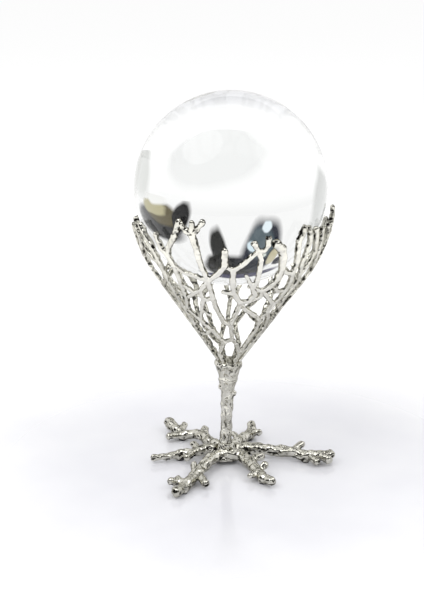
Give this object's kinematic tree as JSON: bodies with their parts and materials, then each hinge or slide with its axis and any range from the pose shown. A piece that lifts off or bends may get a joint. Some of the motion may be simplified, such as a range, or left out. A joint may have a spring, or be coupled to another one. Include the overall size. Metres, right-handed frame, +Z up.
{
  "type": "crystal ball",
  "caption": "Solid glass crystal ball resting in an open coral-branch basket, on a short trunk with spreading root feet.",
  "frame": {"origin": "the point of the table under the middle of the whole piece; the ball's upright axis is 2.75 mm to its left, at x = -2.75 mm", "axes": "+Z up, -Y towards the front, +X to the right seen from the front"},
  "size_m": [0.1082, 0.1038, 0.202],
  "materials": {
    "crystal_glass": "polished optical glass, clear",
    "nickel_plated_casting": "lumpy casting with bright polished nickel plate",
    "zinc_steel": "bright zinc-plated steel",
    "felt": "dark self-adhesive felt"
  },
  "bodies": {
    "stand": {"frond_front_left": "nickel_plated_casting", "frond_front_front_left": "nickel_plated_casting", "frond_front_front": "nickel_plated_casting", "frond_front_front_right": "nickel_plated_casting", "frond_front_right": "nickel_plated_casting", "frond_back_left": "nickel_plated_casting", "frond_back_front_left": "nickel_plated_casting", "frond_back_front": "nickel_plated_casting", "frond_back_front_right": "nickel_plated_casting", "frond_back_right": "nickel_plated_casting", "crown": "nickel_plated_casting", "trunk": "nickel_plated_casting", "tie_rod": "zinc_steel", "washer": "zinc_steel", "nut": "zinc_steel", "root_hub": "nickel_plated_casting", "root_front_left": "nickel_plated_casting", "root_front_right": "nickel_plated_casting", "root_right": "nickel_plated_casting", "root_back_right": "nickel_plated_casting", "root_back_left": "nickel_plated_casting", "root_left": "nickel_plated_casting", "foot_pads": "felt"},
    "ball": {"crystal_ball": "crystal_glass"}
  },
  "joints": [
    {"name": "ball_lift", "type": "slide", "parent": "stand", "child": "ball", "axis": [0, 0, 1], "range_m": [0, 0.1]}
  ]
}
